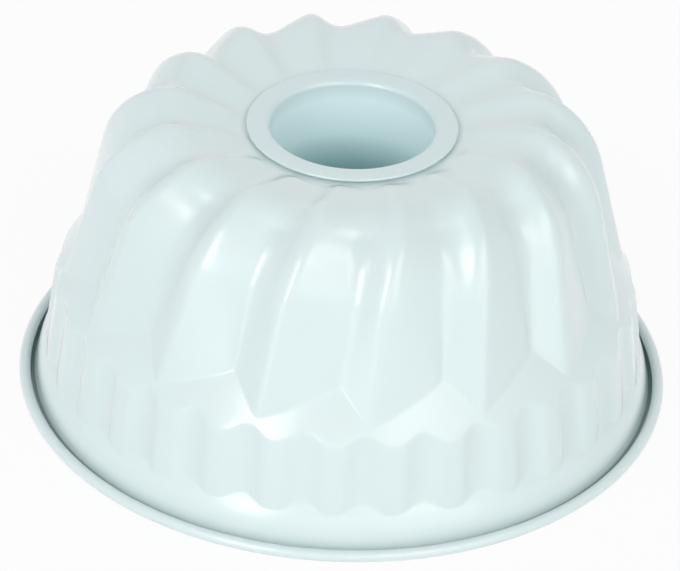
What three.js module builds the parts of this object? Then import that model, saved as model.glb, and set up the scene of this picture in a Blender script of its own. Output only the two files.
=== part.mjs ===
import * as THREE from 'three';

// A small fluted ring-cake pan, upside down on its rolled rim. Millimetres, +Z up, the table at z = 0 and
// the centre tube on the Z axis. Angles are counted in degrees from the front (-Y), positive towards +X.

// Sheet, rim and the wire inside the rim
const SHEET = 0.5;
const FIT_GAP = 0.2;
const RIM_RADIUS = 80;
const WIRE_RADIUS = 0.7;
const BEAD_SIDES = 8;
const FLARE_SLOPE = 10;
const FLARE_FILLET = 1.2;

// Centre tube and the flange that holds it in the crown
const FLANGE_RADIUS = 25.4;
const FLANGE_WIDTH = 5.6;
const LIP_RADIUS = 1.5;
const HEM_WIDTH = 3;
const TUBE_END_RADIUS = 15;
const TUBE_END_HEIGHT = 5;
const END_HEM_HEIGHT = 4;
const COLLAR_DEPTH = 4.5;

// Crown, shoulder and wall, along the ridges of the flutes
const SEAT_HEIGHT = 70.3;
const SEAT_MARGIN = 2;
const SEAT_STEP = 1.3;
const CREST_RADIUS = 45.8;
const CREST_RISE = 5.7;
const CREST_FILLET = 11.4;
const SHOULDER_INSET = 20.6;
const SHOULDER_DROP = 3;
const SHOULDER_FILLET = 25;
const WALL_FOOT_INSET = 9.1;
const WALL_FOOT_HEIGHT = 22;

// Flutes: each a short steep face, a ridge and a long easy face, swirling as they run down
const FLUTES = 16;
const FLUTE_START = -0.1;
const FLUTE_SWIRL = 10.5;
const SWIRL_GROWTH = 1.5;
const FLUTE_FOOT_HEIGHT = 38;
const DEPTH_AT_SEAT = 1.3;
const DEPTH_AT_CREST = 2.6;
const DEPTH_PAST_CREST = 5.5;
const DEPTH_AT_SHOULDER = 5.8;
const DEPTH_AT_FOOT = 3.8;
const RIDGE_PHASE_CROWN = 0.328;
const RIDGE_PHASE_FOOT = 0.27;
const RIDGE_ROUND_CROWN = 0.095;
const RIDGE_ROUND_FOOT = 0.05;
const VALLEY_ROUND_CROWN = 0.11;
const VALLEY_ROUND_FOOT = 0.05;

// Sloping ledge under the flutes, grooved band under the ledge, plain skirt under the band
const LEDGE_INSET = 16.8;
const LEDGE_HEIGHT = 38.4;
const LEDGE_SLOPE = 54.6;
const BAND_INSET = 8.7;
const BAND_HEIGHT = 27;
const BAND_FLARE = 0.137;
const GROOVE_DEPTH = 1.5;
const GROOVE_HALF_PHASE = 0.16;
const SKIRT_INSET = 6.1;
const SKIRT_HEIGHT = 8.8;
const SKIRT_FLARE = 0.281;
const STEP_SLOPE = 52.7;
const GROOVE_START = -0.7;

const TUBE_SEGMENTS = 40;
const WIRE_SEGMENTS = 64;

const rad = THREE.MathUtils.degToRad;
const lerp = THREE.MathUtils.lerp;

const beadRadius = WIRE_RADIUS + FIT_GAP + SHEET;
const beadCentre = new THREE.Vector2(RIM_RADIUS - beadRadius, beadRadius);
const seatRadius = FLANGE_RADIUS + SEAT_MARGIN;
const boreRadius = FLANGE_RADIUS - FLANGE_WIDTH;
const collarRadius = boreRadius + SHEET + FIT_GAP;
const crestHeight = SEAT_HEIGHT + CREST_RISE;
const flutePitch = 360 / FLUTES;

const seatEdge = new THREE.Vector2(seatRadius + SEAT_STEP * 0.7, SEAT_HEIGHT + SEAT_STEP);
const crestCorner = new THREE.Vector2(CREST_RADIUS, crestHeight);
const shoulderCorner = new THREE.Vector2(RIM_RADIUS - SHOULDER_INSET, SEAT_HEIGHT - SHOULDER_DROP);
const wallFoot = new THREE.Vector2(RIM_RADIUS - WALL_FOOT_INSET, WALL_FOOT_HEIGHT);

const coated = new THREE.MeshStandardMaterial({ color: 0xd7e9e7, roughness: 0.32, metalness: 0.1 });
const coatedTube = new THREE.MeshStandardMaterial({ color: 0xcfe2e1, roughness: 0.36, metalness: 0.1 });
const steel = new THREE.MeshStandardMaterial({ color: 0xb4b8ba, roughness: 0.4, metalness: 0.9 });

// Rounds one corner of a path: points on the arc, each with the direction that faces out of the sheet.
function cornerArc(before, corner, after, radius, steps) {
  const back = before.clone().sub(corner).normalize();
  const ahead = after.clone().sub(corner).normalize();
  const halfAngle = Math.acos(back.dot(ahead)) / 2;
  const inward = back.clone().add(ahead).normalize();
  const centre = corner.clone().addScaledVector(inward, radius / Math.sin(halfAngle));
  const first = corner.clone().addScaledVector(back, radius / Math.tan(halfAngle)).sub(centre);
  const last = corner.clone().addScaledVector(ahead, radius / Math.tan(halfAngle)).sub(centre);
  const turn = Math.atan2(first.cross(last), first.dot(last));
  const stations = [];
  for (let i = 0; i <= steps; i += 1) {
    const spoke = first.clone().rotateAround(new THREE.Vector2(), (turn * i) / steps);
    stations.push({ point: spoke.clone().add(centre), outward: spoke.divideScalar(radius) });
  }
  return stations;
}

// How far down the flutes a height is: 0 at the foot and 1 on the crown.
function fluteShare(height) {
  return THREE.MathUtils.clamp((height - FLUTE_FOOT_HEIGHT) / (SEAT_HEIGHT - FLUTE_FOOT_HEIGHT), 0, 1);
}

// Swirl of the flutes in degrees at a share of the way up the ridge line, from the foot to the seat.
function swirlAt(share) {
  return FLUTE_START + FLUTE_SWIRL * share ** SWIRL_GROWTH;
}

// Shape of one flute at a height: where its ridge is, and how wide its corners are rounded, in phases.
function fluteShape(height) {
  const share = fluteShare(height);
  return {
    ridge: lerp(RIDGE_PHASE_FOOT, RIDGE_PHASE_CROWN, share),
    ridgeRound: lerp(RIDGE_ROUND_FOOT, RIDGE_ROUND_CROWN, share),
    valleyRound: lerp(VALLEY_ROUND_FOOT, VALLEY_ROUND_CROWN, share),
  };
}

// The columns of one flute: valley, steep face, ridge, long face, up to the edge of the next valley.
function flutePhases(height) {
  const { ridge, ridgeRound, valleyRound } = fluteShape(height);
  const faceStart = ridge + ridgeRound;
  const faceEnd = 1 - valleyRound;
  return [
    0,
    valleyRound,
    ridge - ridgeRound,
    ridge,
    faceStart,
    lerp(faceStart, faceEnd, 1 / 3),
    lerp(faceStart, faceEnd, 2 / 3),
    faceEnd,
  ];
}

// Share of the full depth at a phase: 0 on the ridge, nearly 1 in the valley, with both corners rounded.
function fluteDrop(phase, height) {
  const { ridge, ridgeRound, valleyRound } = fluteShape(height);
  const bend = 1 / ridge + 1 / (1 - ridge);
  const straight = phase < ridge ? 1 - phase / ridge : (phase - ridge) / (1 - ridge);
  const toRidge = Math.max(0, ridgeRound - Math.abs(phase - ridge));
  const toValley = Math.max(0, valleyRound - Math.min(phase, 1 - phase));
  const rounding = toRidge ** 2 / ridgeRound - toValley ** 2 / valleyRound - ridgeRound;
  return straight + (rounding * bend) / 4;
}

// The two grooves of the band under each flute, one each side of the valley.
function groovePhases() {
  const floor = GROOVE_HALF_PHASE * 0.4;
  const first = [0.25 - GROOVE_HALF_PHASE, 0.25 - floor, 0.25 + floor, 0.25 + GROOVE_HALF_PHASE];
  const second = first.map((phase) => phase + 0.5);
  return [second[3] - 1, ...first, ...second.slice(0, 3)];
}

// Depth of a groove at a phase of the flute.
function grooveAt(phase) {
  const fromCentre = Math.abs(((((phase % 0.5) + 0.5) % 0.5) - 0.25) / GROOVE_HALF_PHASE);
  return GROOVE_DEPTH * Math.max(0, 1 - fromCentre ** 2);
}

// A point of the pan from its radius, height and angle.
function panPoint(radius, height, degrees) {
  const angle = rad(degrees);
  return new THREE.Vector3(radius * Math.sin(angle), -radius * Math.cos(angle), height);
}

// A row of points round the pan. The shape gives the radius, height and swirl for a phase of the flute.
function panRow(phases, shape) {
  const row = [];
  for (let flute = 0; flute < FLUTES; flute += 1) {
    for (const phase of phases) {
      const { radius, height, swirl } = shape(phase);
      row.push(panPoint(radius, height, (flute + phase) * flutePitch + swirl));
    }
  }
  return row;
}

// A plain circle with the columns of the flutes at a height.
function circleRow(radius, height, phases, swirl) {
  return panRow(phases, () => ({ radius, height, swirl }));
}

// Radius of the ridge line of the wall, and of the wall itself at a phase.
function ridgeRadius(height) {
  const share = (shoulderCorner.y - height) / (shoulderCorner.y - wallFoot.y);
  return lerp(shoulderCorner.x, wallFoot.x, share);
}

function wallDepth(height) {
  return lerp(DEPTH_AT_FOOT, DEPTH_AT_SHOULDER, fluteShare(height) ** 0.5);
}

function wallRadius(phase, height) {
  return ridgeRadius(height) - wallDepth(height) * fluteDrop(phase, height);
}

// The ledge is a cone that the flutes run out on. The band and the skirt are cones as well.
function ledgeHeightAt(radius) {
  return LEDGE_HEIGHT - (radius - (RIM_RADIUS - LEDGE_INSET)) * Math.tan(rad(LEDGE_SLOPE));
}

function bandRadius(height) {
  return RIM_RADIUS - BAND_INSET + (BAND_HEIGHT - height) * BAND_FLARE;
}

// Height at which the band, or the floor of a groove in it, meets a cone above or below it.
function meetBand(groove, coneRadius, coneHeight, slope) {
  const run = 1 / Math.tan(rad(slope));
  const base = RIM_RADIUS - BAND_INSET + BAND_HEIGHT * BAND_FLARE - groove;
  return (base - coneRadius - coneHeight * run) / (BAND_FLARE - run);
}

// Height at which a column of the wall runs out on the ledge.
function ledgeMeetsWall(phase) {
  let height = LEDGE_HEIGHT;
  for (let i = 0; i < 12; i += 1) {
    height = ledgeHeightAt(wallRadius(phase, height));
  }
  return height;
}

// Collar round the tube and the flat seat under its flange.
function seatRows() {
  const phases = flutePhases(SEAT_HEIGHT);
  const swirl = swirlAt(1);
  return [
    circleRow(collarRadius, SEAT_HEIGHT - COLLAR_DEPTH, phases, swirl),
    circleRow(collarRadius, SEAT_HEIGHT, phases, swirl),
    circleRow(seatRadius, SEAT_HEIGHT, phases, swirl),
  ];
}

// Shares of the way up the ridge line for points that come down it, 1 at the first and 0 at the flutes' foot.
function waysUp(points) {
  const foot = new THREE.Vector2(ridgeRadius(FLUTE_FOOT_HEIGHT), FLUTE_FOOT_HEIGHT);
  const line = [...points, foot];
  const ways = [0];
  for (let i = 1; i < line.length; i += 1) {
    ways.push(ways[i - 1] + line[i].distanceTo(line[i - 1]));
  }
  return ways.map((way) => 1 - way / ways[points.length]);
}

// Crown and shoulder: the ridge line is a rounded path, and the flutes sink into it along its normals.
function crownRows() {
  const crest = cornerArc(seatEdge, crestCorner, shoulderCorner, CREST_FILLET, 2);
  const shoulder = cornerArc(crestCorner, shoulderCorner, wallFoot, SHOULDER_FILLET, 3);
  const slope = crest[0].outward;
  const middle = seatEdge.clone().lerp(crest[0].point, 0.5);
  const stations = [
    { point: seatEdge, outward: slope, depth: DEPTH_AT_SEAT },
    { point: middle, outward: slope, depth: lerp(DEPTH_AT_SEAT, DEPTH_AT_CREST, 0.25) },
    ...crest.map((station, i) => ({ ...station, depth: lerp(DEPTH_AT_CREST, DEPTH_PAST_CREST, i / 2) })),
    ...shoulder.slice(1).map((station) => ({ ...station, depth: wallDepth(station.point.y) })),
  ];
  const shares = waysUp(stations.map(({ point }) => point));
  return stations.map(({ point, outward, depth }, i) => {
    const phases = flutePhases(point.y);
    const swirl = swirlAt(shares[i]);
    return panRow(phases, (phase) => {
      const drop = depth * fluteDrop(phase, point.y);
      return { radius: point.x - outward.x * drop, height: point.y - outward.y * drop, swirl };
    });
  });
}

// From the flutes' ends over the ledge, down the grooves and over their foot to the skirt.
function bandRows() {
  const swirl = GROOVE_START;
  const grooves = groovePhases();
  const roofLine = panRow(flutePhases(LEDGE_HEIGHT), (phase) => {
    const height = ledgeMeetsWall(phase);
    return { radius: wallRadius(phase, height), height, swirl: swirlAt(0) };
  });
  const grooveTops = panRow(grooves, (phase) => {
    const groove = grooveAt(phase);
    const height = meetBand(groove, RIM_RADIUS - LEDGE_INSET, LEDGE_HEIGHT, LEDGE_SLOPE);
    return { radius: bandRadius(height) - groove, height, swirl };
  });
  const grooveFeet = panRow(grooves, (phase) => {
    const groove = grooveAt(phase);
    const height = meetBand(groove, RIM_RADIUS - SKIRT_INSET, SKIRT_HEIGHT, STEP_SLOPE);
    return { radius: bandRadius(height) - groove, height, swirl };
  });
  const skirtTop = circleRow(RIM_RADIUS - SKIRT_INSET, SKIRT_HEIGHT, grooves, swirl);
  return [roofLine, grooveTops, grooveFeet, skirtTop];
}

// The skirt flares out under the wire and the sheet curls round it, leaving a slit against the flare.
function rimRows() {
  const phases = groovePhases();
  const swirl = GROOVE_START;
  const skirtTop = new THREE.Vector2(RIM_RADIUS - SKIRT_INSET, SKIRT_HEIGHT);
  const slope = new THREE.Vector2(Math.cos(rad(FLARE_SLOPE)), -Math.sin(rad(FLARE_SLOPE)));
  const innerRadius = beadRadius - SHEET;
  const touch = new THREE.Vector2(slope.y, -slope.x).multiplyScalar(innerRadius).add(beadCentre);
  const fall = slope.y / slope.x;
  const skirtFoot = skirtTop.x + SKIRT_FLARE * skirtTop.y;
  const kneeHeight = (touch.y + (skirtFoot - touch.x) * fall) / (1 + SKIRT_FLARE * fall);
  const knee = new THREE.Vector2(skirtTop.x + SKIRT_FLARE * (skirtTop.y - kneeHeight), kneeHeight);
  const flare = cornerArc(skirtTop, knee, touch, FLARE_FILLET, 1).map(({ point }) => point);
  const step = 360 / BEAD_SIDES;
  const curl = [];
  for (let side = 0; side < BEAD_SIDES - 1; side += 1) {
    const angle = rad(270 - step / 2 + side * step);
    const spoke = new THREE.Vector2(Math.cos(angle), Math.sin(angle));
    curl.push(spoke.multiplyScalar(innerRadius / Math.cos(rad(step / 2))).add(beadCentre));
  }
  return [...flare, ...curl].map((point) => circleRow(point.x, point.y, phases, swirl));
}

// Unit normal of the patch between two rows and two columns, out of the sheet.
function patchNormal(rows, i, j) {
  const next = (j + 1) % rows[i].length;
  const down = rows[i + 1][j].clone().add(rows[i + 1][next]).sub(rows[i][j]).sub(rows[i][next]);
  const along = rows[i][next].clone().add(rows[i + 1][next]).sub(rows[i][j]).sub(rows[i + 1][j]);
  return down.cross(along).normalize();
}

// The other face of the sheet: every point moves in square to the patches round it.
function otherFace(rows) {
  const last = rows.length - 1;
  return rows.map((row, i) => row.map((point, j) => {
    const before = (j + row.length - 1) % row.length;
    const patches = [];
    for (const side of [i - 1, i]) {
      if (side >= 0 && side < last) {
        patches.push(patchNormal(rows, side, j), patchNormal(rows, side, before));
      }
    }
    const normal = patches.reduce((sum, patch) => sum.add(patch), new THREE.Vector3()).normalize();
    const square = Math.max(0.6, Math.min(...patches.map((patch) => patch.dot(normal))));
    return point.clone().addScaledVector(normal, -SHEET / square);
  }));
}

// Skins a closed loop of rows, each row closed round the pan.
function skinRows(rows) {
  const columns = rows[0].length;
  const index = [];
  for (let i = 0; i < rows.length; i += 1) {
    const below = (i + 1) % rows.length;
    for (let j = 0; j < columns; j += 1) {
      const next = (j + 1) % columns;
      const corners = [i * columns + j, below * columns + j, below * columns + next, i * columns + next];
      index.push(corners[0], corners[1], corners[2], corners[0], corners[2], corners[3]);
    }
  }
  const geometry = new THREE.BufferGeometry().setFromPoints(rows.flat());
  geometry.setIndex(index);
  return geometry;
}

function makeShell() {
  const outside = [...seatRows(), ...crownRows(), ...bandRows(), ...rimRows()];
  const inside = otherFace(outside).reverse();
  return skinRows([...outside, ...inside]);
}

// Round corner of a turned profile between two angles in degrees.
function profileArc(centreRadius, centreHeight, radius, from, to, steps) {
  const points = [];
  for (let i = 0; i <= steps; i += 1) {
    const angle = rad(lerp(from, to, i / steps));
    const spoke = new THREE.Vector2(Math.cos(angle), Math.sin(angle)).multiplyScalar(radius);
    points.push(spoke.add(new THREE.Vector2(centreRadius, centreHeight)));
  }
  return points;
}

// The tube narrows towards the pan's mouth. Its crown end is turned out into a flange with a folded edge,
// and its free end is folded inwards.
function makeTube() {
  const flangeBottom = SEAT_HEIGHT + FIT_GAP;
  const flangeTop = flangeBottom + 2 * SHEET;
  const lipRadius = boreRadius + LIP_RADIUS;
  const lipHeight = flangeTop - LIP_RADIUS;
  const hemInner = FLANGE_RADIUS - HEM_WIDTH;
  const taper = (boreRadius - TUBE_END_RADIUS) / (lipHeight - TUBE_END_HEIGHT);
  const endCentre = TUBE_END_HEIGHT + SHEET;
  const foldTop = TUBE_END_HEIGHT + END_HEM_HEIGHT;
  const foldRadius = TUBE_END_RADIUS + taper * END_HEM_HEIGHT;
  const profile = [
    ...profileArc(TUBE_END_RADIUS, endCentre, SHEET, 180, 360, 4),
    ...profileArc(lipRadius, lipHeight, LIP_RADIUS - SHEET, 180, 90, 3),
    new THREE.Vector2(hemInner, flangeTop - SHEET),
    new THREE.Vector2(hemInner, flangeBottom),
    ...profileArc(FLANGE_RADIUS - SHEET, flangeBottom + SHEET, SHEET, -90, 90, 4),
    ...profileArc(lipRadius, lipHeight, LIP_RADIUS, 90, 180, 4),
    new THREE.Vector2(foldRadius, foldTop),
    new THREE.Vector2(foldRadius - SHEET, foldTop),
  ];
  profile.push(profile[0].clone());
  return new THREE.LatheGeometry(profile, TUBE_SEGMENTS).rotateX(Math.PI / 2);
}

function makeWire() {
  const wire = new THREE.TorusGeometry(beadCentre.x, WIRE_RADIUS, 6, WIRE_SEGMENTS);
  return wire.translate(0, 0, beadCentre.y);
}

function piece(name, geometry, material) {
  const mesh = new THREE.Mesh(geometry, material);
  mesh.name = name;
  return mesh;
}

const pan = new THREE.Group();
pan.name = 'fluted_tube_pan';
pan.add(piece('fluted_shell', makeShell(), coated));
pan.add(piece('centre_tube', makeTube(), coatedTube));
pan.add(piece('rim_wire', makeWire(), steel));

export default pan;
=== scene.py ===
"""Finished look of a mini fluted tube pan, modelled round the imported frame.

The pan stands upside down on its rolled rim. Everything is in metres, +Z up, with the table at
z = 0, the centre tube on the Z axis and the front of the pan towards -Y. Angles are counted in
degrees from the front, positive towards +X.
"""

from __future__ import annotations

import logging
import math
from dataclasses import dataclass
from enum import Enum
from functools import partial
from typing import Any, Callable, Sequence, Union

import bmesh
import bpy
from mathutils import Euler, Matrix, Vector

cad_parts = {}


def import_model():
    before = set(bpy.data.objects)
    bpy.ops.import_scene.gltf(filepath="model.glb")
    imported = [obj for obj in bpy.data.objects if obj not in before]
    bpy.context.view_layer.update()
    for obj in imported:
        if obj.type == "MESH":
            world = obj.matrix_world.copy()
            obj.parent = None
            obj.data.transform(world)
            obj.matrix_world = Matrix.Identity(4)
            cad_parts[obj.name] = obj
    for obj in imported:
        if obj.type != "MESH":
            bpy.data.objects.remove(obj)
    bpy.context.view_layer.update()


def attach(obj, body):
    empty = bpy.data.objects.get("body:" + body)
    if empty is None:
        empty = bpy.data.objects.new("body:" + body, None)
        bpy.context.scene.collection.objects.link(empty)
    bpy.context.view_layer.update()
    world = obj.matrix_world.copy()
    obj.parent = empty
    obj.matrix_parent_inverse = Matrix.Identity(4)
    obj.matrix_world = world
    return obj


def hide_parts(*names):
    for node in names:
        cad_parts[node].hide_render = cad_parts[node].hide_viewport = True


Point = tuple[float, float, float]
Tint = tuple[float, float, float]
Tone = tuple[float, float, float, float]
Stops = tuple[tuple[float, Any], ...]
ColumnShape = Callable[[float], Point]
BMesh = bmesh.types.BMesh
VertRows = list[list[bmesh.types.BMVert]]
Object = bpy.types.Object
Socket = bpy.types.NodeSocket

LOG = logging.getLogger("tube_pan")
BODY = "root"
# Point attribute that places each point on the coating's ramp of painted light and shade.
PAINTED_SHADING = "hollow"
WHITE: Tone = (1.0, 1.0, 1.0, 1.0)
NOISE_MEAN = 0.5

# Numbers of the Mix node's sockets that take and give colours.
MIX_FIRST = 6
MIX_SECOND = 7
MIX_RESULT = 2

# Sizes that more than one class goes by.
MM = 0.001
MERGE_REACH = 0.001 * MM
SHEET = 0.5 * MM
RIM_RADIUS = 80.0 * MM
SEAT_HEIGHT = 70.3 * MM


class Node(Enum):
    """Nodes of the frame that the finished pieces stand for."""

    SHELL = "fluted_shell"
    TUBE = "centre_tube"
    WIRE = "rim_wire"


class Slot(Enum):
    """Names of the pan's material slots."""

    SHELL = "coated_shell"
    TUBE = "coated_tube"
    WIRE = "wire_steel"


def lerp(start: float, end: float, share: float) -> float:
    """Goes from start to end as share goes from 0 to 1."""
    return start + (end - start) * share


def clamp(value: float) -> float:
    """Keeps a value between 0 and 1."""
    return min(max(value, 0.0), 1.0)


def run_out(slope: float) -> float:
    """Says how far a slope, in degrees, runs out for each unit down."""
    return 1 / math.tan(math.radians(slope))


def bunched(steps: int) -> list[float]:
    """Gives shares from 0 to 1, both included, that lie closer together towards both ends."""
    return [(1 - math.cos(math.pi * i / steps)) / 2 for i in range(steps + 1)]


@dataclass(frozen=True)
class Station:
    """A point of a turned profile, with the direction that faces out of the sheet."""

    radius: float
    height: float
    out_radius: float = 0.0
    out_height: float = 0.0

    def sunk(self, depth: float) -> tuple[float, float]:
        """Gives the radius and height at a depth under the sheet's face."""
        return self.radius - self.out_radius * depth, self.height - self.out_height * depth


def rounded_corner(
    before: Vector, corner: Vector, after: Vector, radius: float, steps: int
) -> list[Station]:
    """Rounds one corner of a profile.

    Args:
        before: Point of the profile before the corner, as radius and height.
        corner: The sharp corner.
        after: Point of the profile after the corner.
        radius: Radius of the arc.
        steps: Number of steps along the arc.

    Returns:
        Stations along the arc, from its start to its end.
    """
    back = (before - corner).normalized()
    ahead = (after - corner).normalized()
    half_angle = back.angle(ahead) / 2
    reach = radius / math.tan(half_angle)
    centre = corner + (back + ahead).normalized() * (radius / math.sin(half_angle))
    first = corner + back * reach - centre
    last = corner + ahead * reach - centre
    turn = math.atan2(first.x * last.y - first.y * last.x, first.dot(last))
    stations = []
    for i in range(steps + 1):
        spoke = Matrix.Rotation(turn * i / steps, 2) @ first
        outward = spoke / radius
        stations.append(Station(centre.x + spoke.x, centre.y + spoke.y, outward.x, outward.y))
    return stations


def profile_arc(
    centre: Vector, radius: float, start: float, end: float, steps: int
) -> list[Vector]:
    """Gives points of a round stretch of a profile.

    Args:
        centre: Centre of the arc, as radius and height.
        radius: Radius of the arc.
        start: Angle of the first point in degrees, 0 away from the axis and 90 up.
        end: Angle of the last point in degrees.
        steps: Number of steps along the arc.

    Returns:
        The points, both ends included.
    """
    points = []
    for i in range(steps + 1):
        angle = math.radians(lerp(start, end, i / steps))
        points.append(centre + Vector((math.cos(angle), math.sin(angle))) * radius)
    return points


def finished_object(name: str, mesh_data: BMesh) -> Object:
    """Turns a bmesh into a smooth-shaded object at the origin.

    Args:
        name: Name of the new piece.
        mesh_data: The bmesh, which is freed.

    Returns:
        The linked object.
    """
    for face in mesh_data.faces:
        face.smooth = True
    mesh = bpy.data.meshes.new(name)
    mesh_data.to_mesh(mesh)
    mesh_data.free()
    piece = bpy.data.objects.new(name, mesh)
    bpy.context.scene.collection.objects.link(piece)
    return piece


def spun(profile: list[Vector], painted_shading_places: list[float], steps: int, closed: bool) -> BMesh:
    """Spins a profile once round the Z axis and closes the seam.

    Args:
        profile: Points of the profile, as radius and height.
        painted_shading_places: Place of each point on the ramp of painted light and shade, 0 to 1.
        steps: Number of steps round the axis.
        closed: Whether the last point is joined to the first.

    Returns:
        The spun profile.
    """
    mesh_data = bmesh.new()
    hollow = mesh_data.verts.layers.float.new(PAINTED_SHADING)
    line = [mesh_data.verts.new((point.x, 0, point.y)) for point in profile]
    for vert, depth in zip(line, painted_shading_places):
        vert[hollow] = depth
    for this, after in zip(line, line[1:] + line[:1] if closed else line[1:]):
        mesh_data.edges.new((this, after))
    bmesh.ops.spin(
        mesh_data,
        geom=mesh_data.verts[:] + mesh_data.edges[:],
        cent=(0, 0, 0),
        axis=(0, 0, 1),
        angle=math.tau,
        steps=steps,
        use_merge=True,
    )
    bmesh.ops.remove_doubles(mesh_data, verts=mesh_data.verts[:], dist=MERGE_REACH)
    return mesh_data


def turned(name: str, profile: list[Vector], painted_shading_places: list[float], steps: int) -> Object:
    """Turns a closed profile round the Z axis.

    Args:
        name: Name of the new piece.
        profile: Points of the profile, as radius and height.
        painted_shading_places: Place of each point on the ramp of painted light and shade, 0 to 1.
        steps: Number of steps round the axis.

    Returns:
        The turned piece.
    """
    turning = spun(profile, painted_shading_places, steps, closed=True)
    bmesh.ops.recalc_face_normals(turning, faces=turning.faces[:])
    return finished_object(name, turning)


def between(upper: ColumnShape, lower: ColumnShape, share: float, column: float) -> Point:
    """Places a column of a row that lies between two others.

    Args:
        upper: Shape of the row above.
        lower: Shape of the row below.
        share: Share of the way down.
        column: The column's share of the flute's columns.

    Returns:
        The column's radius, height and angle.
    """
    ends = zip(upper(column), lower(column))
    radius, height, angle = (lerp(start, end, share) for start, end in ends)
    return radius, height, angle


class Value:
    """A shader number that Python's operators can work with."""

    def __init__(self, graph: Graph, socket: Socket) -> None:
        """Wraps an output socket of a graph."""
        self.graph = graph
        self.socket = socket

    def _math(self, operation: str, first: Linked, second: Linked) -> Value:
        """Adds a Math node for one operation and wraps its result."""
        node = self.graph.node("ShaderNodeMath", {0: first, 1: second}, operation=operation)
        return Value(self.graph, node.outputs[0])

    def __add__(self, other: Linked) -> Value:
        """Adds a number or a value."""
        return self._math("ADD", self, other)

    def __sub__(self, other: Linked) -> Value:
        """Takes a number or a value away."""
        return self._math("SUBTRACT", self, other)

    def __rsub__(self, other: Linked) -> Value:
        """Takes the value away from a number."""
        return self._math("SUBTRACT", other, self)

    def __mul__(self, other: Linked) -> Value:
        """Multiplies by a number or a value."""
        return self._math("MULTIPLY", self, other)

    __radd__ = __add__
    __rmul__ = __mul__


Linked = Union[Value, Socket, float, tuple]


class Graph:
    """A node tree under construction."""

    def __init__(self, owner: bpy.types.Material | bpy.types.World) -> None:
        """Clears a node tree and takes it over.

        Args:
            owner: The material or the world that has the tree.
        """
        owner.use_nodes = True
        self.tree = owner.node_tree
        self.tree.nodes.clear()

    def node(
        self, kind: str, inputs: dict[Any, Linked] | None = None, **settings: Any
    ) -> bpy.types.Node:
        """Makes a node.

        Args:
            kind: Blender's name for the type of node.
            inputs: Values or links of its sockets, by name or number.
            settings: The node's own settings. Those named stops are a ramp's places and colours.

        Returns:
            The new node.
        """
        made = self.tree.nodes.new(kind)
        for key, value in settings.items():
            if key == "stops":
                self._set_stops(made.color_ramp, value)
            else:
                setattr(made, key, value)
        for key, value in (inputs or {}).items():
            self._feed(made.inputs[key], value)
        return made

    def _feed(self, target: Socket, value: Linked) -> None:
        """Links a socket to a value, or sets its number.

        Args:
            target: The socket.
            value: Value or socket to link, or a number or colour to set.
        """
        source = value.socket if isinstance(value, Value) else value
        if isinstance(source, Socket):
            self.tree.links.new(source, target)
        else:
            target.default_value = source

    @staticmethod
    def _set_stops(ramp: bpy.types.ColorRamp, stops: Stops) -> None:
        """Gives a colour ramp its stops.

        Args:
            ramp: The ramp.
            stops: Places from 0 to 1 with their colours, two or more.
        """
        while len(ramp.elements) < len(stops):
            ramp.elements.new(1.0)
        for element, (place, colour) in zip(ramp.elements, stops):
            element.position = place
            element.color = colour

    def noise(self, scale: float, detail: float) -> Value:
        """Adds a noise texture that lies still on the object.

        Args:
            scale: Waves per metre.
            detail: Number of finer octaves.

        Returns:
            The noise, which is NOISE_MEAN on average.
        """
        place = self.node("ShaderNodeTexCoord").outputs["Object"]
        inputs = {"Vector": place, "Scale": scale, "Detail": detail}
        made = self.node("ShaderNodeTexNoise", inputs, noise_dimensions="3D")
        return Value(self, made.outputs["Fac"])

    def blended(self, way: str, factor: Linked, first: Linked, second: Linked) -> Socket:
        """Adds a mix of two colours.

        Args:
            way: Blender's name for the way of mixing.
            factor: How far the second colour is mixed in, 0 to 1.
            first: The first colour.
            second: The second colour.

        Returns:
            The mixed colour.
        """
        inputs = {"Factor": factor, MIX_FIRST: first, MIX_SECOND: second}
        made = self.node("ShaderNodeMix", inputs, data_type="RGBA", blend_type=way)
        return made.outputs[MIX_RESULT]

    def surface(self, inputs: dict[Any, Linked]) -> None:
        """Ends a material's graph with a Principled shader."""
        shader = self.node("ShaderNodeBsdfPrincipled", inputs)
        self.node("ShaderNodeOutputMaterial", {"Surface": shader.outputs["BSDF"]})

    def either(self, output: str, factor: Linked, first: Linked, second: Linked) -> None:
        """Ends a graph with a mix of two shaders in an output node."""
        mixed = self.node("ShaderNodeMixShader", {"Fac": factor, 1: first, 2: second})
        self.node(output, {"Surface": mixed.outputs["Shader"]})

    def background_ray(self) -> Value:
        """Picks the rays that show the background: from the camera, off gloss or through glass.

        Returns:
            1 for such a ray and 0 for the others.
        """
        path = self.node("ShaderNodeLightPath")
        straight = Value(self, path.outputs["Is Camera Ray"])
        return straight + path.outputs["Is Glossy Ray"] + path.outputs["Is Transmission Ray"]


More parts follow.
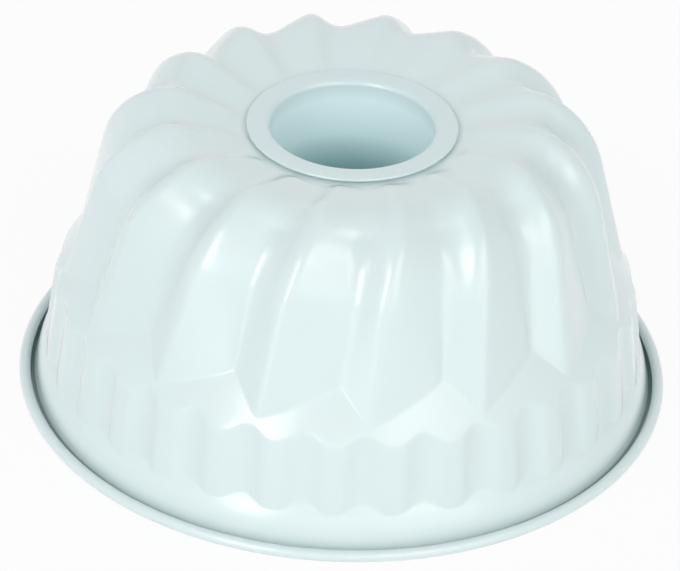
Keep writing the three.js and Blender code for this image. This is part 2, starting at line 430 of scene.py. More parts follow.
@dataclass(frozen=True)
class CoatedFinish:
    """Baked non-stick coating on sheet steel: pale and glossy, with a faint orange peel.

    Its ramp runs from its own tone on the open surface, at 0, to painted shade deep in a recess, at
    1.
    """

    name: str
    tones_with_painted_shading: Stops
    roughness: float
    roughness_swing: float = 0.10
    coat_weight: float = 1.0
    coat_ior: float = 1.6
    coat_roughness: float = 0.19
    pool_shade: Tone = (0.978, 0.985, 0.985, 1.0)
    pool_scale: float = 38.0
    pool_detail: float = 3.0
    smudge_scale: float = 120.0
    smudge_detail: float = 4.0
    peel_scale: float = 900.0
    peel_detail: float = 2.0
    peel_height: float = 0.012 * MM
    peel_strength: float = 0.35

    def make(self) -> bpy.types.Material:
        """Makes the material.

        Returns:
            A material in which tone, roughness and the surface's height vary slightly, and in which
            painted light and shade follow a point attribute.
        """
        material = bpy.data.materials.new(self.name)
        graph = Graph(material)
        pooled = graph.noise(self.pool_scale, self.pool_detail)
        smudged = graph.noise(self.smudge_scale, self.smudge_detail)
        peel = graph.noise(self.peel_scale, self.peel_detail)
        # Painted light and shade: the point attribute picks a place on the ramp, from the coating's
        # own tone to darker painted shade in recesses.
        hollow = graph.node("ShaderNodeAttribute", attribute_name=PAINTED_SHADING).outputs["Fac"]
        tone = graph.node("ShaderNodeValToRGB", {"Fac": hollow}, stops=self.tones_with_painted_shading).outputs["Color"]
        bump = graph.node(
            "ShaderNodeBump",
            {"Height": peel, "Strength": self.peel_strength, "Distance": self.peel_height},
        )
        graph.surface(
            {
                "Base Color": graph.blended("MULTIPLY", pooled, tone, self.pool_shade),
                "Roughness": self.roughness + self.roughness_swing * (smudged - NOISE_MEAN),
                "Normal": bump.outputs["Normal"],
                "Coat Weight": self.coat_weight,
                "Coat Roughness": self.coat_roughness,
                "Coat IOR": self.coat_ior,
            }
        )
        return material


@dataclass(frozen=True)
class WireFinish:
    """Drawn steel wire with fine scuffs."""

    name: str
    tone: Tone = (0.56, 0.57, 0.58, 1.0)
    scuffed_tone: Tone = (0.36, 0.37, 0.38, 1.0)
    roughness: float = 0.35
    roughness_swing: float = 0.2
    scuff_scale: float = 700.0
    scuff_detail: float = 5.0

    def make(self) -> bpy.types.Material:
        """Makes the material.

        Returns:
            A steel material with scuffs in its tone and roughness.
        """
        material = bpy.data.materials.new(self.name)
        graph = Graph(material)
        scuffs = graph.noise(self.scuff_scale, self.scuff_detail)
        graph.surface(
            {
                "Base Color": graph.blended("MIX", scuffs, self.tone, self.scuffed_tone),
                "Metallic": 1.0,
                "Roughness": self.roughness + self.roughness_swing * (scuffs - NOISE_MEAN),
            }
        )
        return material


@dataclass(frozen=True)
class RolledRim:
    """The wire at the pan's edge and the sheet that is rolled round it."""

    rim_radius: float = RIM_RADIUS
    wire_radius: float = 0.7 * MM
    fit_gap: float = 0.2 * MM
    sheet: float = SHEET
    skirt_bulge: float = 0.33 * MM
    skirt_shares: tuple[float, ...] = (0.08, 0.2, 0.35, 0.5, 0.65, 0.8, 0.92)
    crevice_shade_offset: float = 0.55 * MM
    crevice_shade_reach: float = 0.62 * MM
    crevice_shade_fill: float = 1.4
    flare_slope: float = 10.0
    flare_round: float = 1.2 * MM
    flare_steps: int = 6
    curl_end: float = 185.0
    curl_steps: int = 22
    wire_sides: int = 16
    wire_steps: int = 256
    wire_finish: WireFinish = WireFinish("drawn_wire")

    @property
    def inner_radius(self) -> float:
        """Radius of the sheet's face round the wire."""
        return self.wire_radius + self.fit_gap

    @property
    def bead_centre(self) -> Vector:
        """Centre of the wire's section, as radius and height."""
        bead_radius = self.inner_radius + self.sheet
        return Vector((self.rim_radius - bead_radius, bead_radius))

    @property
    def run(self) -> Vector:
        """Direction of the sheet from the skirt's knee to the wire, as radius and height."""
        slope = math.radians(self.flare_slope)
        return Vector((math.cos(slope), -math.sin(slope)))

    @property
    def touch(self) -> Vector:
        """Point at which the sheet starts to turn round the wire."""
        return self.bead_centre + Vector((self.run.y, -self.run.x)) * self.inner_radius

    def knee(self, band: GroovedBand) -> Vector:
        """Finds the sharp corner between the skirt and the sheet under the wire.

        Args:
            band: The band and the skirt above the rim.

        Returns:
            The corner, as radius and height.
        """
        fall = self.run.y / self.run.x
        flare = band.skirt_flare
        skirt_foot = band.skirt_top.x + flare * band.skirt_top.y
        height = (self.touch.y + (skirt_foot - self.touch.x) * fall) / (1 + flare * fall)
        return Vector((skirt_foot - flare * height, height))

    def crevice(self, point: Vector, knee: Vector) -> float:
        """Gives how much painted shade a point gets in the crevice inside the bead, 0 to 1."""
        bottom = knee + self.run * self.crevice_shade_offset
        return clamp(self.crevice_shade_fill - (point - bottom).length / self.crevice_shade_reach)

    def profile(self, band: GroovedBand) -> list[Vector]:
        """Follows the sheet's face from the skirt round the wire.

        Args:
            band: The band and the skirt above the rim.

        Returns:
            Points of the profile below the skirt's top.
        """
        flare = rounded_corner(
            band.skirt_top, self.knee(band), self.touch, self.flare_round, self.flare_steps
        )
        start = Vector((flare[0].radius, flare[0].height))
        points = []
        for share in self.skirt_shares:
            # A parabola that is 0 at both ends and the full bulge in the middle.
            bulge = 4 * self.skirt_bulge * share * (1 - share)
            points.append(band.skirt_top.lerp(start, share) + Vector((bulge, 0)))
        points += [Vector((station.radius, station.height)) for station in flare]
        spoke = self.touch - self.bead_centre
        first = math.degrees(math.atan2(spoke.y, spoke.x))
        points += profile_arc(
            self.bead_centre, self.inner_radius, first, self.curl_end, self.curl_steps
        )
        return points

    def build_wire(self) -> Object:
        """Makes the wire inside the rolled sheet, a closed ring."""
        section = profile_arc(self.bead_centre, self.wire_radius, 0, 360, self.wire_sides)[:-1]
        return turned("rim_wire_ring", section, [1.0] * len(section), self.wire_steps)

    def dress_wire(self, wire: Object) -> None:
        """Gives the wire its steel."""
        wire.data.materials.append(self.wire_finish.make())


@dataclass(frozen=True)
class Flutes:
    """The swirled flutes: each a short steep face, a ridge and a long easy face.

    A place in a flute is its phase, 0 in one valley and 1 in the next. The columns are counted
    over the valley's end, the steep face, the ridge, the long face and the next valley's start.
    """

    count: int = 16
    start: float = -0.1
    swirl: float = 10.5
    swirl_growth: float = 1.5
    foot_height: float = 38.0 * MM
    crown_height: float = SEAT_HEIGHT
    ridge_at_crown: float = 0.328
    ridge_at_foot: float = 0.27
    ridge_round_at_crown: float = 0.12
    ridge_round_at_foot: float = 0.05
    valley_round_at_crown: float = 0.18
    valley_round_at_foot: float = 0.05
    columns: tuple[int, int, int, int, int] = (4, 2, 6, 8, 4)

    @property
    def pitch(self) -> float:
        """Angle from one flute to the next in degrees."""
        return 360 / self.count

    @property
    def columns_each(self) -> int:
        """Number of columns of faces in one flute."""
        return sum(self.columns)

    def share(self, height: float) -> float:
        """Says how far up the flutes a height is, 0 at the foot and 1 on the crown."""
        return clamp((height - self.foot_height) / (self.crown_height - self.foot_height))

    def swirl_at(self, way: float) -> float:
        """Gives the swirl in degrees at a share of the way up the ridge line."""
        return self.start + self.swirl * way**self.swirl_growth

    def form(self, height: float) -> tuple[float, float, float]:
        """Gives the form of a flute at a height.

        Args:
            height: Height of the row.

        Returns:
            The ridge's phase, and half the widths of the ridge's and the valley's rounds.
        """
        share = self.share(height)
        return (
            lerp(self.ridge_at_foot, self.ridge_at_crown, share),
            lerp(self.ridge_round_at_foot, self.ridge_round_at_crown, share),
            lerp(self.valley_round_at_foot, self.valley_round_at_crown, share),
        )

    def phase(self, column_share: float, height: float) -> float:
        """Places a column in a flute, with more columns where the sheet bends.

        Args:
            column_share: The column's share of the flute's columns, 0 to 1.
            height: Height of the row.

        Returns:
            The column's phase.
        """
        ridge, top, valley = self.form(height)
        ends = (0.0, valley, ridge - top, ridge + top, 1 - valley, 1.0)
        column = column_share * self.columns_each
        for number, low, high in zip(self.columns, ends, ends[1:]):
            if column <= number:
                return lerp(low, high, column / number)
            column -= number
        return 1.0

    def drop(self, phase: float, height: float) -> float:
        """Gives the share of the full depth at a place, 0 on the ridge and most in the valley.

        Args:
            phase: Place in the flute.
            height: Height of the row.

        Returns:
            The share of the depth, with the ridge and the valley rounded by parabolas.
        """
        ridge, top, valley = self.form(height)
        bend = 1 / ridge + 1 / (1 - ridge)
        straight = 1 - phase / ridge if phase < ridge else (phase - ridge) / (1 - ridge)
        to_ridge = max(0.0, top - abs(phase - ridge))
        to_valley = max(0.0, valley - min(phase, 1 - phase))
        # A parabola lies a quarter of its half width, times the bend, off the sharp corner.
        rounding = to_ridge**2 / top - to_valley**2 / valley - top
        return straight + rounding * bend / 4


@dataclass(frozen=True)
class GroovedBand:
    """The ledge under the flutes, the grooved band under it and the step to the plain skirt."""

    rim_radius: float = RIM_RADIUS
    ledge_inset: float = 16.8 * MM
    ledge_height: float = 38.4 * MM
    ledge_slope: float = 54.6
    band_inset: float = 8.7 * MM
    band_height: float = 27.0 * MM
    band_flare: float = 0.137
    groove_depth: float = 1.5 * MM
    groove_half: float = 0.16
    groove_start: float = -0.7
    grooves_each: int = 2
    skirt_inset: float = 6.1 * MM
    skirt_height: float = 8.8 * MM
    skirt_flare: float = 0.281
    step_slope: float = 52.7

    @property
    def ledge_corner(self) -> Vector:
        """Top of the ledge, as radius and height."""
        return Vector((self.rim_radius - self.ledge_inset, self.ledge_height))

    @property
    def skirt_top(self) -> Vector:
        """Top of the plain skirt, as radius and height."""
        return Vector((self.rim_radius - self.skirt_inset, self.skirt_height))

    @property
    def foot_radius(self) -> float:
        """Radius of the band between its grooves, carried on down to the table."""
        return self.rim_radius - self.band_inset + self.band_height * self.band_flare

    def groove(self, phase: float) -> float:
        """Gives the depth of a groove at a place in a flute.

        Args:
            phase: Place in the flute.

        Returns:
            The depth, 0 between the grooves.
        """
        pitch = 1 / self.grooves_each
        from_centre = abs(phase % pitch - pitch / 2) / self.groove_half
        return self.groove_depth * max(0.0, 1 - from_centre**2)

    def ledge_radius(self, height: float) -> float:
        """Gives the ledge's radius at a height."""
        return self.ledge_corner.x + (self.ledge_height - height) * run_out(self.ledge_slope)

    def end(self, phase: float, corner: Vector, slope: float) -> tuple[float, float]:
        """Finds where the band, with its grooves, ends on the cone above or below it.

        Args:
            phase: Place in the flute.
            corner: A point of the cone, as radius and height.
            slope: Slope of the cone in degrees.

        Returns:
            The radius and the height of the end.
        """
        run = run_out(slope)
        foot = self.foot_radius - self.groove(phase)
        height = (foot - corner.x - corner.y * run) / (self.band_flare - run)
        return foot - height * self.band_flare, height


@dataclass(frozen=True)
class FlutedShell:
    """The drawn sheet: collar, seat, crown, fluted wall, ledge, band, skirt and rolled edge.

    Its rows run from the collar's free edge to the rolled edge. Each is a function that gives a
    column's radius, height and angle in degrees.
    """

    flutes: Flutes = Flutes()
    band: GroovedBand = GroovedBand()
    rim: RolledRim = RolledRim()
    sheet: float = SHEET
    collar_radius: float = 20.5 * MM
    collar_depth: float = 4.5 * MM
    collar_round: float = 0.8 * MM
    collar_steps: int = 3
    seat_radius: float = 27.4 * MM
    seat_height: float = SEAT_HEIGHT
    seat_shares: tuple[float, ...] = (0.4, 0.8, 1.0)
    seat_step: float = 1.3 * MM
    seat_step_run: float = 0.91 * MM
    seat_ease: int = 1
    crown_shares: tuple[float, ...] = (0.0, 0.06, 0.14, 0.24, 0.36, 0.5, 0.64, 0.78, 0.9)
    crest_radius: float = 45.8 * MM
    crest_rise: float = 5.7 * MM
    crest_round: float = 11.4 * MM
    crest_steps: int = 8
    shoulder_inset: float = 20.6 * MM
    shoulder_drop: float = 3.0 * MM
    shoulder_round: float = 25.0 * MM
    shoulder_steps: int = 15
    wall_foot_inset: float = 9.1 * MM
    wall_foot_height: float = 22.0 * MM
    wall_steps: int = 14
    roof_rounds: int = 12
    ledge_steps: int = 9
    groove_steps: int = 12
    step_steps: int = 5
    band_ease: int = 3
    skirt_ease: int = 2
    depth_at_seat: float = 1.3 * MM
    depth_at_crest: float = 2.6 * MM
    depth_past_crest: float = 5.5 * MM
    depth_at_shoulder: float = 5.8 * MM
    depth_at_foot: float = 3.8 * MM
    ease_passes: tuple[int, ...] = (3, 2, 2, 1, 1)
    ease_factor: float = 0.5
    edge_round: float = 0.12 * MM
    edge_segments: int = 2
    edge_angle: float = 70.0
    finish: CoatedFinish = CoatedFinish(
        "shell_coating",
        # The coating's own colour, and painted shade for the rim's crevice between skirt and bead.
        tones_with_painted_shading=((0.0, (0.664, 0.768, 0.764, 1.0)), (1.0, (0.120, 0.210, 0.215, 1.0))),
        roughness=0.30,
    )

    @property
    def seat_edge(self) -> Vector:
        """Start of the ridges above the seat, as radius and height."""
        return Vector((self.seat_radius + self.seat_step_run, self.seat_height + self.seat_step))

    @property
    def crest(self) -> Vector:
        """Sharp corner of the ridge line at the crest."""
        return Vector((self.crest_radius, self.seat_height + self.crest_rise))

    @property
    def shoulder(self) -> Vector:
        """Sharp corner of the ridge line at the shoulder."""
        radius = self.rim.rim_radius - self.shoulder_inset
        return Vector((radius, self.seat_height - self.shoulder_drop))

    @property
    def wall_foot(self) -> Vector:
        """Lowest point of the ridge line, behind the band."""
        return Vector((self.rim.rim_radius - self.wall_foot_inset, self.wall_foot_height))

    @property
    def columns_round(self) -> int:
        """Number of columns of faces round the pan."""
        return self.flutes.count * self.flutes.columns_each

    def wall_depth(self, height: float) -> float:
        """Gives the flutes' depth in the wall at a height."""
        share = math.sqrt(self.flutes.share(height))
        return lerp(self.depth_at_foot, self.depth_at_shoulder, share)

    def ridge_radius(self, height: float) -> float:
        """Gives the radius of the wall's ridges at a height."""
        share = (self.shoulder.y - height) / (self.shoulder.y - self.wall_foot.y)
        return lerp(self.shoulder.x, self.wall_foot.x, share)

    def wall_radius(self, phase: float, height: float) -> float:
        """Gives the wall's radius at a place in a flute."""
        return self.ridge_radius(height) - self.wall_depth(height) * self.flutes.drop(phase, height)

    def roof_height(self, phase: float) -> float:
        """Finds the height at which a column of the wall runs out on the ledge.

        Args:
            phase: The column's place in the flute.

        Returns:
            The height, from a few rounds in which the wall and the ledge close in on it.
        """
        height = self.band.ledge_height
        for _ in range(self.roof_rounds):
            out = self.wall_radius(phase, height) - self.band.ledge_corner.x
            height = self.band.ledge_height - out / run_out(self.band.ledge_slope)
        return height

    def band_angle(self, column: float) -> float:
        """Gives the angle of a column below the ledge."""
        return column * self.flutes.pitch + self.band.groove_start

    def seat_point(self, station: Station, column: float) -> Point:
        """Places a column of the collar or the seat."""
        angle = self.flutes.phase(column, self.seat_height) * self.flutes.pitch
        return station.radius, station.height, angle + self.flutes.swirl_at(1.0)

    def crown_point(self, station: Station, depth: float, way: float, column: float) -> Point:
        """Places a column of the crown, where the flutes sink in square to the ridge line.

        Args:
            station: The row's place on the ridge line.
            depth: Depth of the flutes there.
            way: Share of the way up the ridge line.
            column: The column's share of the flute's columns.

        Returns:
            The column's radius, height and angle.
        """
        phase = self.flutes.phase(column, station.height)
        radius, height = station.sunk(depth * self.flutes.drop(phase, station.height))
        return radius, height, phase * self.flutes.pitch + self.flutes.swirl_at(way)

    def roof_point(self, column: float) -> Point:
        """Places a column where the wall runs out on the ledge.

        Args:
            column: The column's share of the flute's columns.

        Returns:
            The column's radius, height and angle.
        """
        phase = self.flutes.phase(column, self.band.ledge_height)
        height = self.roof_height(phase)
        angle = phase * self.flutes.pitch + self.flutes.swirl_at(0.0)
        return self.wall_radius(phase, height), height, angle

    def ledge_point(self, column: float) -> Point:
        """Places a column of the ledge's upper end, under the wall."""
        _, height, angle = self.roof_point(column)
        return self.band.ledge_radius(height), height, angle

    def band_point(self, corner: Vector, slope: float, column: float) -> Point:
        """Places a column of the grooved band's upper or lower end."""
        return *self.band.end(column, corner, slope), self.band_angle(column)

    def rim_point(self, place: Vector, column: float) -> Point:
        """Places a column of the skirt or the rolled edge."""
        return place.x, place.y, self.band_angle(column)

    def seat_rows(self) -> list[ColumnShape]:
        """Shapes the collar round the tube and the flat seat under its flange.

        Returns:
            A shape for each row.
        """
        foot = Vector((self.collar_radius, self.seat_height - self.collar_depth))
        corner = Vector((self.collar_radius, self.seat_height))
        edge = Vector((self.seat_radius, self.seat_height))
        bend = rounded_corner(foot, corner, edge, self.collar_round, self.collar_steps)
        stations = [Station(foot.x, foot.y), *bend]
        for share in self.seat_shares:
            stations.append(Station(lerp(bend[-1].radius, edge.x, share), edge.y))
        return [partial(self.seat_point, station) for station in stations]

    def crown_rows(self) -> list[ColumnShape]:
        """Shapes the crown and the shoulder along the rounded ridge line.

        Returns:
            A shape for each row, from the seat's edge to the top of the wall.
        """
        crest = rounded_corner(
            self.seat_edge, self.crest, self.shoulder, self.crest_round, self.crest_steps
        )
        shoulder = rounded_corner(
            self.crest, self.shoulder, self.wall_foot, self.shoulder_round, self.shoulder_steps
        )
        start = crest[0]
        stations = []
        depths = []
        for share in self.crown_shares:
            radius = lerp(self.seat_edge.x, start.radius, share)
            height = lerp(self.seat_edge.y, start.height, share)
            stations.append(Station(radius, height, start.out_radius, start.out_height))
            depths.append(lerp(self.depth_at_seat, self.depth_at_crest, share**2))
        for i, station in enumerate(crest):
            stations.append(station)
            share = i / self.crest_steps
            depths.append(lerp(self.depth_at_crest, self.depth_past_crest, share))
        stations += shoulder
        depths += [self.wall_depth(station.height) for station in shoulder]
        ways = self.ways_up(stations)
        return [partial(self.crown_point, *row) for row in zip(stations, depths, ways)]

    def ways_up(self, stations: list[Station]) -> list[float]:
        """Measures how far up the ridge line some stations lie.

        Args:
            stations: Stations that come down the ridge line, the first at the seat's edge.

        Returns:
            A share for each station, 1 at the first and 0 at the foot of the flutes.
        """
        foot = self.flutes.foot_height
        ends = [*stations, Station(self.ridge_radius(foot), foot)]
        ways = [0.0]
        for this, after in zip(ends, ends[1:]):
            length = math.hypot(after.radius - this.radius, after.height - this.height)
            ways.append(ways[-1] + length)
        return [1 - way / ways[-1] for way in ways[:-1]]

    def rows(self) -> tuple[list[ColumnShape], dict[int, int]]:
        """Lines up all rows from the collar to the rolled edge.

        Returns:
            The rows, and the numbers of those along a pressed crease, each with the number of
            rows on either side that its round takes up.
        """
        seat = self.seat_rows()
        crown = self.crown_rows()
        band = self.band
        band_top = partial(self.band_point, band.ledge_corner, band.ledge_slope)
        band_foot = partial(self.band_point, band.skirt_top, band.step_slope)
        skirt_top = partial(self.rim_point, band.skirt_top)
        rows = [*seat, *crown]
        creases = {len(seat) - 1: self.seat_ease, len(seat): self.seat_ease}
        for upper, lower, steps, ease in (
            (crown[-1], self.roof_point, self.wall_steps, self.band_ease),
            (self.ledge_point, band_top, self.ledge_steps, self.band_ease),
            (band_top, band_foot, self.groove_steps, self.band_ease),
            (band_foot, skirt_top, self.step_steps, self.skirt_ease),
        ):
            rows += [partial(between, upper, lower, share) for share in bunched(steps)[1:]]
            creases[len(rows) - 1] = ease
        rows += [partial(self.rim_point, place) for place in self.rim.profile(band)]
        return rows, creases

    def build(self) -> Object:
        """Makes the shell: a strip is spun, shaped, eased at its creases and given its thickness.

        Returns:
            The finished shell.
        """
        rows, creases = self.rows()
        # The plain strip's rows lie as far apart as the rim's radius.
        radius = self.rim.rim_radius
        line = [Vector((radius, number * radius)) for number in range(len(rows))]
        strip = spun(line, [0.0] * len(line), self.columns_round, closed=False)
        points = self._shape(strip, rows)
        self._ease(strip, points, creases)
        bmesh.ops.recalc_face_normals(strip, faces=strip.faces[:])
        shell = finished_object("fluted_shell_sheet", strip)
        self._thicken(shell)
        return shell

    def _shape(self, strip: BMesh, rows: list[ColumnShape]) -> VertRows:
        """Moves the strip's points to their places and marks those in the rim's crevice for painted
        shade.

        Args:
            strip: The plain strip.
            rows: Shapes of its rows.

        Returns:
            The points of each row.
        """
        each = self.flutes.columns_each
        shaped = [[row(column / each) for column in range(each)] for row in rows]
        knee = self.rim.knee(self.band)
        hollow = strip.verts.layers.float[PAINTED_SHADING]
        points: VertRows = [[] for _ in rows]
        for vert in strip.verts:
            row = round(vert.co.z / self.rim.rim_radius)
            turn = math.atan2(vert.co.y, vert.co.x) / math.tau
            flute, column = divmod(round(turn * self.columns_round) % self.columns_round, each)
            radius, height, degrees = shaped[row][column]
            angle = math.radians(degrees + flute * self.flutes.pitch)
            vert.co = Vector((radius * math.sin(angle), -radius * math.cos(angle), height))
            # Painted shade: points deep in the rim's crevice take the darker tone.
            vert[hollow] = self.rim.crevice(Vector((radius, height)), knee)
            points[row].append(vert)
        return points

    def _ease(self, strip: BMesh, points: VertRows, creases: dict[int, int]) -> None:
        """Rounds the pressed creases, by passes that reach less and less far from them.

        Args:
            strip: The shaped strip.
            points: The points of each row.
            creases: Numbers of the rows along a crease, each with the reach of its round.
        """
        for most in self.ease_passes:
            rows: set[int] = set()
            for crease, reach in creases.items():
                span = min(reach, most)
                rows.update(range(crease - span, crease + span + 1))
            bmesh.ops.smooth_vert(
                strip,
                verts=[vert for row in sorted(rows) for vert in points[row]],
                factor=self.ease_factor,
                use_axis_x=True,
                use_axis_y=True,
                use_axis_z=True,
            )

    def _thicken(self, shell: Object) -> None:
        """Gives the sheet its thickness and rounds its cut edges.

        Args:
            shell: The shaped face of the sheet.
        """
        wall = shell.modifiers.new("sheet", "SOLIDIFY")
        wall.thickness = self.sheet
        wall.offset = -1.0
        wall.use_even_offset = True
        wall.use_quality_normals = True
        edge = shell.modifiers.new("cut_edges", "BEVEL")
        edge.width = self.edge_round
        edge.segments = self.edge_segments
        edge.limit_method = "ANGLE"
        edge.angle_limit = math.radians(self.edge_angle)

    def dress(self, shell: Object) -> None:
        """Coats the shell."""
        shell.data.materials.append(self.finish.make())


@dataclass(frozen=True)
class CentreTube:
    """The conical tube with its flange on the crown and its folded ends."""

    sheet: float = SHEET
    flange_radius: float = 25.4 * MM
    flange_width: float = 5.6 * MM
    flange_bottom: float = 70.5 * MM
    lip_round: float = 1.5 * MM
    hem_width: float = 3.0 * MM
    end_radius: float = 15.0 * MM
    end_height: float = 5.0 * MM
    end_hem_height: float = 4.0 * MM
    # Painted shade in the bore: its depth under the flange where it is full, and how far it runs
    # on.
    painted_dark_depth: float = 30.0 * MM
    painted_dark_length: float = 10.0 * MM
    hidden_steps: int = 8
    seen_steps: int = 10
    steps: int = 192
    finish: CoatedFinish = CoatedFinish(
        "tube_coating",
        # The coating's own colour at the lip, a paler band of painted light down the bore, then
        # painted shade deeper in.
        tones_with_painted_shading=(
            (0.0, (0.635, 0.753, 0.753, 1.0)),
            (0.12, (0.765, 0.905, 0.910, 1.0)),
            (0.45, (0.755, 0.925, 0.930, 1.0)),
            (0.80, (0.400, 0.640, 0.660, 1.0)),
            (1.0, (0.280, 0.480, 0.500, 1.0)),
        ),
        roughness=0.34,
    )

    @property
    def bore_radius(self) -> float:
        """Radius of the bore under the lip."""
        return self.flange_radius - self.flange_width

    @property
    def flange_top(self) -> float:
        """Height of the flange's upper face."""
        return self.flange_bottom + 2 * self.sheet

    @property
    def lip(self) -> Vector:
        """Centre of the lip's round, as radius and height."""
        return Vector((self.bore_radius + self.lip_round, self.flange_top - self.lip_round))

    def cone_radius(self, height: float) -> float:
        """Gives the radius of the bore at a height."""
        taper = (self.bore_radius - self.end_radius) / (self.lip.y - self.end_height)
        return self.end_radius + taper * (height - self.end_height)

    def build(self) -> Object:
        """Turns the tube's profile.

        Returns:
            The finished tube.
        """
        end = Vector((self.end_radius, self.end_height + self.sheet))
        edge = Vector((self.flange_radius - self.sheet, self.flange_bottom + self.sheet))
        hem_inner = self.flange_radius - self.hem_width
        outside = [
            *profile_arc(end, self.sheet, 180, 360, self.hidden_steps),
            *profile_arc(self.lip, self.lip_round - self.sheet, 180, 90, self.hidden_steps),
            Vector((hem_inner, self.flange_top - self.sheet)),
            Vector((hem_inner, self.flange_bottom)),
            *profile_arc(edge, self.sheet, -90, 90, self.seen_steps),
            *profile_arc(self.lip, self.lip_round, 90, 180, self.seen_steps),
        ]
        # Painted light and shade in the bore go by depth: 0 at the lip, the full mark at these two
        # rings and below.
        painted_dark_top = self.flange_top - self.painted_dark_depth
        painted_dark = [
            Vector((self.cone_radius(height), height))
            for height in (painted_dark_top, painted_dark_top - self.painted_dark_length)
        ]
        fold_top = self.end_height + self.end_hem_height
        fold_radius = self.cone_radius(fold_top)
        fold = [Vector((fold_radius, fold_top)), Vector((fold_radius - self.sheet, fold_top))]
        painted_shading_places = [0.0] * len(outside) + [1.0] * len(painted_dark) + [0.0] * len(fold)
        return turned("centre_tube_flanged", [*outside, *painted_dark, *fold], painted_shading_places, self.steps)

    def dress(self, tube: Object) -> None:
        """Coats the tube."""
        tube.data.materials.append(self.finish.make())


def direction(azimuth: float, elevation: float) -> Vector:
    """Gives a direction away from the pan.

    Args:
        azimuth: Angle in degrees from the front, positive towards +X.
        elevation: Angle in degrees above the table.

    Returns:
        The unit direction.
    """
    turn = math.radians(azimuth)
    rise = math.radians(elevation)
    out = math.cos(rise)
    return Vector((math.sin(turn) * out, -math.cos(turn) * out, math.sin(rise)))


@dataclass(frozen=True)
class SoftBox:
    """A rectangular studio light that looks at the pan, with its face as bright as stated."""

    name: str
    azimuth: float
    elevation: float
    width: float
    height: float
    brightness: float
    colour: Tint = (1.0, 1.0, 1.0)
    distance: float = 1.2

    def place(self, target: Vector) -> None:
        """Puts the light up.

        Args:
            target: Point that the light looks at.
        """
        lamp = bpy.data.lights.new(self.name, "AREA")
        lamp.shape = "RECTANGLE"
        lamp.size = self.width
        lamp.size_y = self.height
        lamp.energy = self.brightness * math.pi * self.width * self.height
        lamp.color = self.colour
        light = bpy.data.objects.new(self.name, lamp)
        light.visible_camera = False
        away = direction(self.azimuth, self.elevation)
        light.location = target + away * self.distance
        light.rotation_euler = away.to_track_quat("Z", "Y").to_euler()
        bpy.context.scene.collection.objects.link(light)


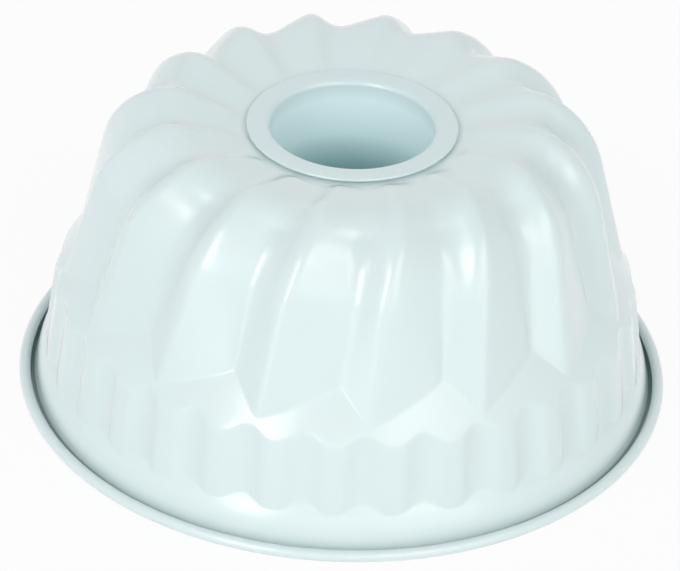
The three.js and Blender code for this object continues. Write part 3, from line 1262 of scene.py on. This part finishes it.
@dataclass(frozen=True)
class Studio:
    """Camera, table top and soft light.

    The sky has a level for each height of a ray, 0 at the horizon and 1 overhead.
    """

    aim: Point = (-1.3 * MM, -5.7 * MM, 28.55 * MM)
    camera_elevation: float = 33.45
    camera_distance: float = 979.3 * MM
    camera_roll: float = 2.5
    lens: float = 212.5
    sensor: float = 36.0
    table_radius: float = 0.3
    table_sides: int = 128
    floor_white: Tone = (0.86, 0.87, 0.87, 1.0)
    floor_glow: float = 0.91
    sky_tint: Tint = (0.985, 0.995, 1.015)
    sky: Stops = ((0.0, 0.46), (0.25, 0.02), (0.5, 2.56), (0.75, 0.12), (1.0, 0.0))
    boxes: tuple[SoftBox, ...] = (
        SoftBox("front_box", 3.2, 16.0, 0.44, 0.55, 0.50),
        SoftBox("left_box", -29.5, 24.9, 0.33, 0.86, 3.50),
        SoftBox("left_top_box", -49.3, 41.2, 0.46, 0.29, 1.05),
        SoftBox("left_low_box", -34.3, -8.0, 0.51, 0.30, 0.63),
        SoftBox("left_fill_box", -100.0, 15.0, 1.20, 0.90, 0.14, (0.80, 0.95, 1.20)),
        SoftBox("right_box", 33.6, 23.2, 0.79, 1.11, 0.74),
        SoftBox("right_key_box", 28.0, 37.4, 0.36, 0.45, 0.89),
        SoftBox("right_top_box", 56.4, 41.0, 0.38, 0.30, 1.35),
        SoftBox("right_low_box", 45.8, -6.2, 0.39, 0.35, 0.48),
    )

    def add_camera(self) -> None:
        """Puts the camera where the pan is seen as in the photograph."""
        data = bpy.data.cameras.new("view")
        data.lens = self.lens
        data.sensor_width = self.sensor
        data.dof.use_dof = False
        camera = bpy.data.objects.new("view", data)
        away = direction(0.0, self.camera_elevation)
        camera.location = Vector(self.aim) + away * self.camera_distance
        level = away.to_track_quat("Z", "Y").to_matrix()
        roll = Euler((0, 0, math.radians(self.camera_roll))).to_matrix()
        camera.rotation_euler = (level @ roll).to_euler()
        bpy.context.scene.collection.objects.link(camera)
        bpy.context.scene.camera = camera

    def add_floor(self) -> None:
        """Lays a pale round table top that looks white and keeps the pan's soft shadow."""
        top = bmesh.new()
        bmesh.ops.create_circle(
            top, cap_ends=True, segments=self.table_sides, radius=self.table_radius
        )
        floor = finished_object("floor", top)
        material = bpy.data.materials.new("floor_paper")
        graph = Graph(material)
        seen = graph.background_ray()
        paper = graph.node("ShaderNodeBsdfDiffuse", {"Color": self.floor_white}).outputs["BSDF"]
        glow = graph.node("ShaderNodeEmission", {"Color": WHITE}).outputs["Emission"]
        graph.either("ShaderNodeOutputMaterial", self.floor_glow * seen, paper, glow)
        floor.data.materials.append(material)

    def add_light(self) -> None:
        """Lights the pan from all round and from soft boxes, before a white background."""
        world = bpy.data.worlds.new("studio")
        bpy.context.scene.world = world
        graph = Graph(world)
        seen = graph.background_ray()
        way = graph.node("ShaderNodeTexCoord").outputs["Generated"]
        rise = graph.node("ShaderNodeSeparateXYZ", {"Vector": way}).outputs["Z"]
        red, green, blue = self.sky_tint
        stops = tuple(
            (place, (level * red, level * green, level * blue, 1.0)) for place, level in self.sky
        )
        sky = graph.node("ShaderNodeValToRGB", {"Fac": rise}, stops=stops).outputs["Color"]
        soft = graph.node("ShaderNodeBackground", {"Color": sky}).outputs["Background"]
        white = graph.node("ShaderNodeBackground", {"Color": WHITE}).outputs["Background"]
        graph.either("ShaderNodeOutputWorld", seen, soft, white)
        for box in self.boxes:
            box.place(Vector(self.aim))

    def build(self) -> None:
        """Sets up the camera, the table top and the light."""
        bpy.context.scene.view_settings.view_transform = "Standard"
        self.add_camera()
        self.add_floor()
        self.add_light()


def hand_over(piece: Object, node: Node) -> None:
    """Makes a finished piece stand for its node.

    Args:
        piece: The finished piece.
        node: Node of the frame that it replaces.
    """
    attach(piece, BODY)
    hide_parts(node.value)
    LOG.info("%s: %d faces, stands for %s", piece.name, len(piece.data.polygons), node.value)


def main() -> None:
    """Builds the pan's pieces in order, then the studio, and logs each piece's number of faces."""
    logging.basicConfig(level=logging.INFO, format="%(name)s: %(message)s")
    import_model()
    shell = FlutedShell()
    sheet = shell.build()
    shell.dress(sheet)
    hand_over(sheet, Node.SHELL)
    tube = CentreTube()
    flanged = tube.build()
    tube.dress(flanged)
    hand_over(flanged, Node.TUBE)
    wire = shell.rim.build_wire()
    shell.rim.dress_wire(wire)
    hand_over(wire, Node.WIRE)
    Studio().build()


if __name__ == "__main__":
    main()
